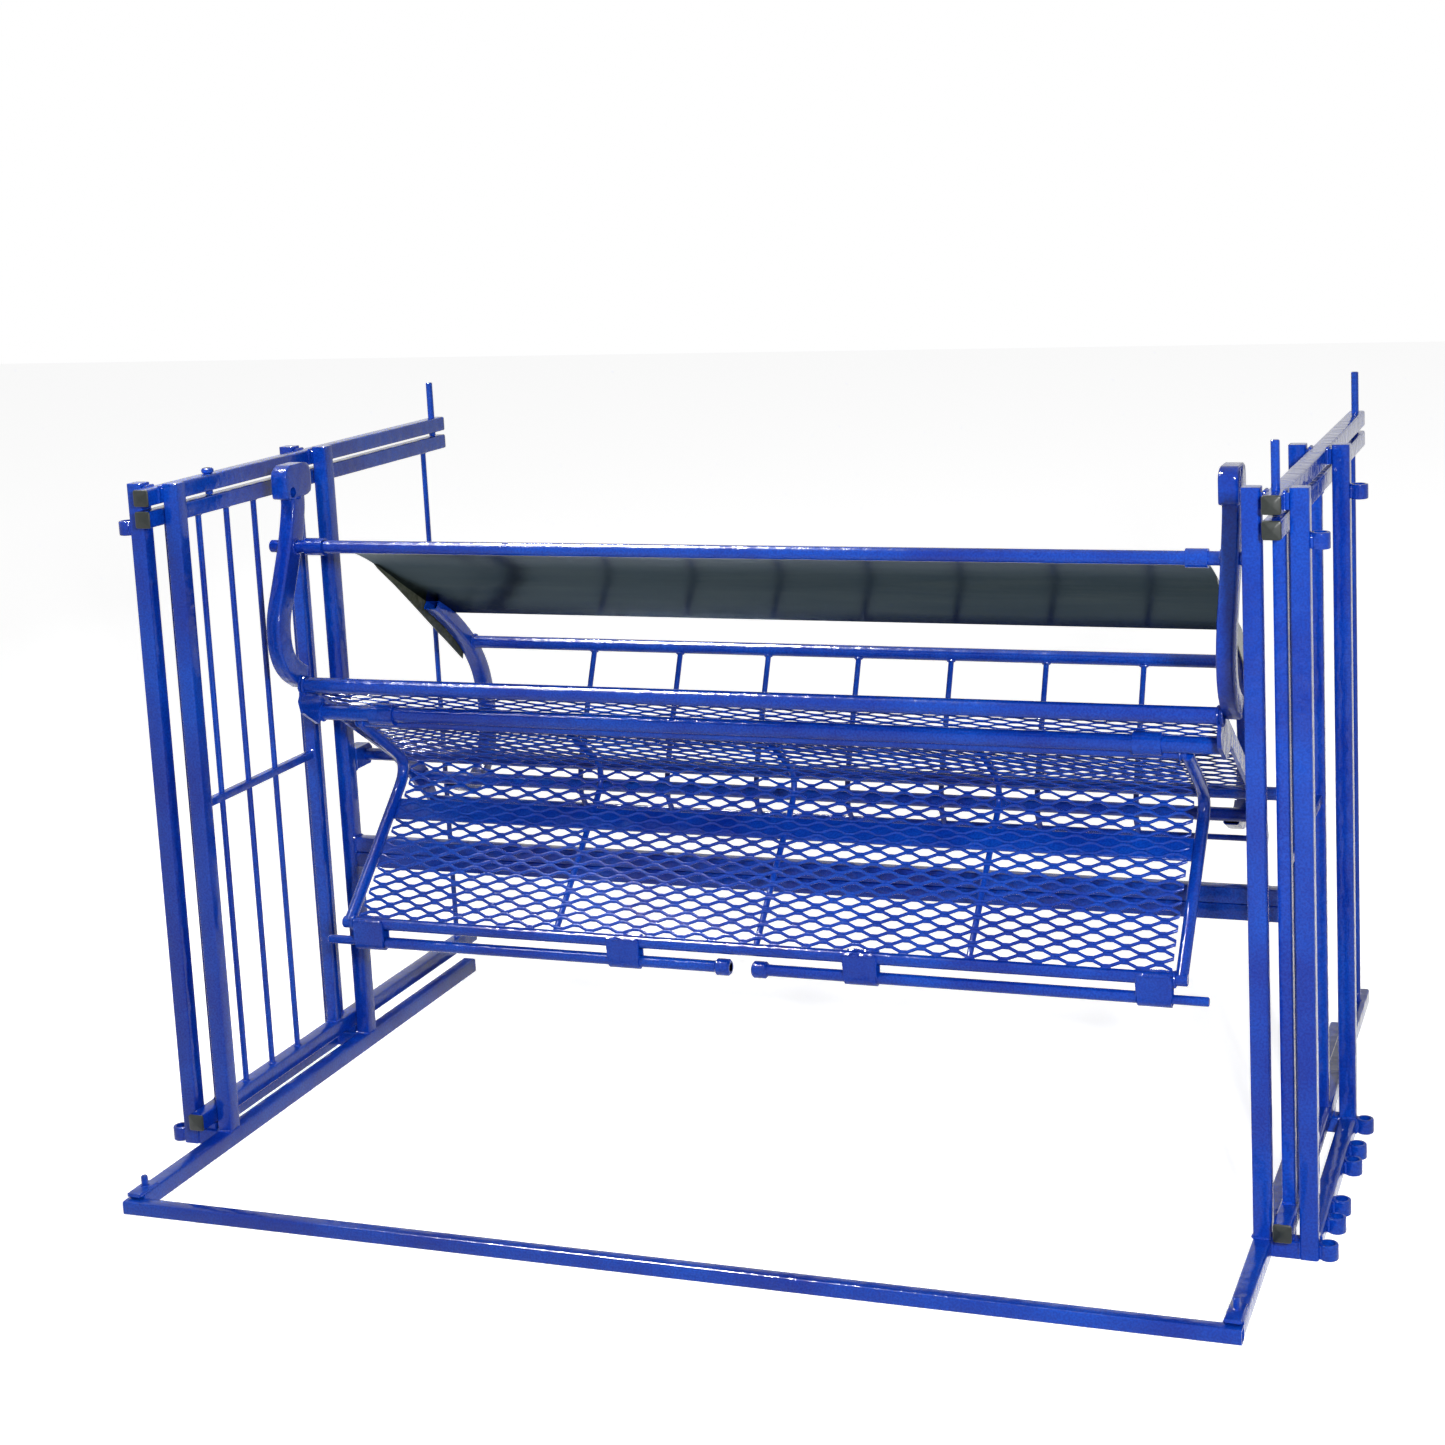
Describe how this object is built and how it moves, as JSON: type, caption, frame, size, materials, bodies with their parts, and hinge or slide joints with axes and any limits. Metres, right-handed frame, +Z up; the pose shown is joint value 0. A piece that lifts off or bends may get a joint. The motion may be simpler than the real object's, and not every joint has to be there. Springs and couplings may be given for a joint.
{
  "type": "sheep tilt table",
  "caption": "Open tubular steel turning crate for sheep: tilting mesh cradle with hinged floor and squeeze sheet, between end frames with sliding gates on a floor frame.",
  "frame": {"origin": "middle of the footprint, on the ground", "axes": "+Z up, +X along the crate to the right as the operator faces it, -Y towards the operator"},
  "size_m": [1.8266, 1.165, 1.115],
  "materials": {
    "blue_enamel": "gloss",
    "bare_sheet": "satin"
  },
  "bodies": {
    "frame": {"base_front_bar": "blue_enamel", "base_rail_left": "blue_enamel", "base_rail_right": "blue_enamel", "corner_pin_left": "blue_enamel", "corner_pin_right": "blue_enamel", "post_front_left_inner": "blue_enamel", "post_front_left_outer": "blue_enamel", "post_rear_left_inner": "blue_enamel", "post_rear_left_outer": "blue_enamel", "post_front_right_inner": "blue_enamel", "post_front_right_outer": "blue_enamel", "post_rear_right_inner": "blue_enamel", "post_rear_right_outer": "blue_enamel", "foot_front_left": "blue_enamel", "foot_rear_left": "blue_enamel", "foot_front_right": "blue_enamel", "foot_rear_right": "blue_enamel", "outer_rail_left": "blue_enamel", "outer_rail_right": "blue_enamel", "top_rail_left": "blue_enamel", "top_rail_right": "blue_enamel", "rest_beam_upper": "blue_enamel", "rest_beam_lower": "blue_enamel", "pivot_lug_left": "blue_enamel", "pivot_lug_right": "blue_enamel"},
    "gate_left": {"gate_top_left": "blue_enamel", "gate_bottom_left": "blue_enamel", "gate_grille_left": "blue_enamel", "gate_end_rod_left": "blue_enamel"},
    "gate_right": {"gate_top_right": "blue_enamel", "gate_bottom_right": "blue_enamel", "gate_grille_right": "blue_enamel", "gate_end_rod_right": "blue_enamel"},
    "pin_front_left_body": {"pin_front_left": "blue_enamel"},
    "pin_rear_left_body": {"pin_rear_left": "blue_enamel"},
    "pin_front_right_body": {"pin_front_right": "blue_enamel"},
    "pin_rear_right_body": {"pin_rear_right": "blue_enamel"},
    "cradle": {"arm_left": "blue_enamel", "arm_right": "blue_enamel", "keeper_left": "blue_enamel", "keeper_right": "blue_enamel", "arm_stub_left": "blue_enamel", "arm_stub_right": "blue_enamel", "front_tube": "blue_enamel", "low_tube": "blue_enamel", "hinge_tube": "blue_enamel", "pivot_shaft": "blue_enamel", "end_rib_left": "blue_enamel", "end_rib_right": "blue_enamel", "table_mesh": "blue_enamel", "back_grid": "blue_enamel", "bow_left": "blue_enamel", "bow_right": "blue_enamel"},
    "squeeze": {"squeeze_sheet": "bare_sheet", "squeeze_barrel_left": "blue_enamel", "squeeze_barrel_right": "blue_enamel"},
    "floor": {"floor_frame": "blue_enamel", "floor_mesh": "blue_enamel"},
    "bolt_left": {"floor_bolt_left": "blue_enamel"},
    "bolt_right": {"floor_bolt_right": "blue_enamel"}
  },
  "joints": [
    {"name": "tilt", "type": "hinge", "parent": "frame", "child": "cradle", "pos_m": [0, 0.1675, 0.51], "axis": [1, 0, 0], "range_deg": [0, 90]},
    {"name": "floor_hinge", "type": "hinge", "parent": "cradle", "child": "floor", "pos_m": [0, -0.0775, 0.645], "axis": [1, 0, 0], "range_deg": [-165, 0]},
    {"name": "squeeze_hinge", "type": "hinge", "parent": "cradle", "child": "squeeze", "pos_m": [0, -0.1085, 0.922], "axis": [1, 0, 0], "range_deg": [0, 35]},
    {"name": "gate_left_slide", "type": "slide", "parent": "frame", "child": "gate_left", "axis": [0, 1, 0], "range_m": [-0.43, 0]},
    {"name": "pin_front_left_slide", "type": "slide", "parent": "frame", "child": "pin_front_left_body", "axis": [0, 0, 1], "range_m": [0, 0.04]},
    {"name": "pin_rear_left_slide", "type": "slide", "parent": "frame", "child": "pin_rear_left_body", "axis": [0, 0, 1], "range_m": [-0.03, 0]},
    {"name": "bolt_left_slide", "type": "slide", "parent": "floor", "child": "bolt_left", "axis": [1, 0, 0], "range_m": [-0.055, 0]},
    {"name": "gate_right_slide", "type": "slide", "parent": "frame", "child": "gate_right", "axis": [0, 1, 0], "range_m": [-0.43, 0]},
    {"name": "pin_front_right_slide", "type": "slide", "parent": "frame", "child": "pin_front_right_body", "axis": [0, 0, 1], "range_m": [-0.03, 0]},
    {"name": "pin_rear_right_slide", "type": "slide", "parent": "frame", "child": "pin_rear_right_body", "axis": [0, 0, 1], "range_m": [-0.03, 0]},
    {"name": "bolt_right_slide", "type": "slide", "parent": "floor", "child": "bolt_right", "axis": [1, 0, 0], "range_m": [0, 0.055]}
  ],
  "couplings": [
    {"joint": "floor_hinge", "follows": "tilt", "ratio": -1.8333}
  ]
}
